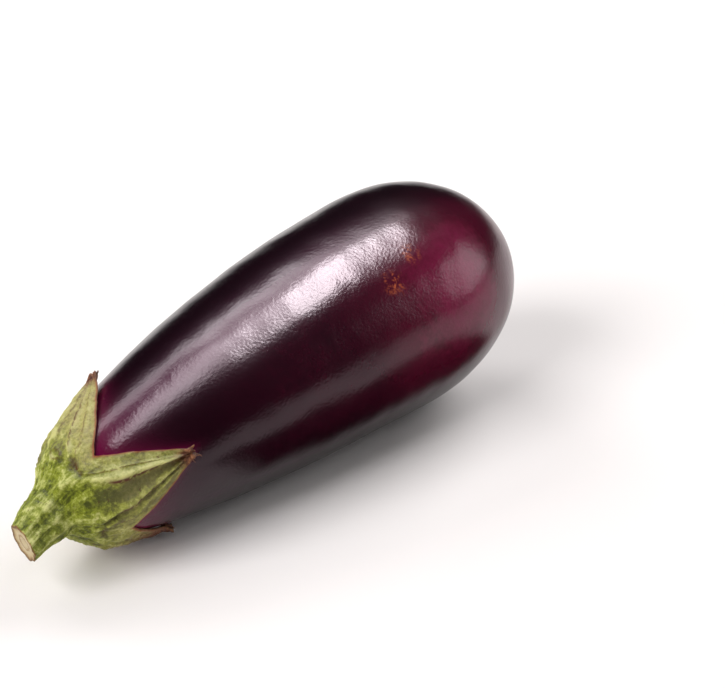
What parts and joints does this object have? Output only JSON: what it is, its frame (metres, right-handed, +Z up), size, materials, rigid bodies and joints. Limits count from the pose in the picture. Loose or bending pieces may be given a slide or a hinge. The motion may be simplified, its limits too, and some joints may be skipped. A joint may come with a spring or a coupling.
{
  "type": "eggplant",
  "caption": "Whole eggplant lying on its side: a long, slightly bent fruit, fattest towards its blossom end, with a lobed calyx and a short cut stem at its neck.",
  "frame": {"origin": "centre of the bounding box's base, on the surface that the fruit lies on", "axes": "+X along the fruit towards its blossom end, so the stem points to -X; +Z up; -Y the front"},
  "size_m": [0.2366, 0.081, 0.0818],
  "materials": {
    "skin": "glossy, waxy skin",
    "calyx": "matt and leathery",
    "stem": "matt, green and fibrous"
  },
  "bodies": {
    "root": {"fruit": "skin", "calyx": "calyx", "stem": "stem"}
  },
  "joints": []
}
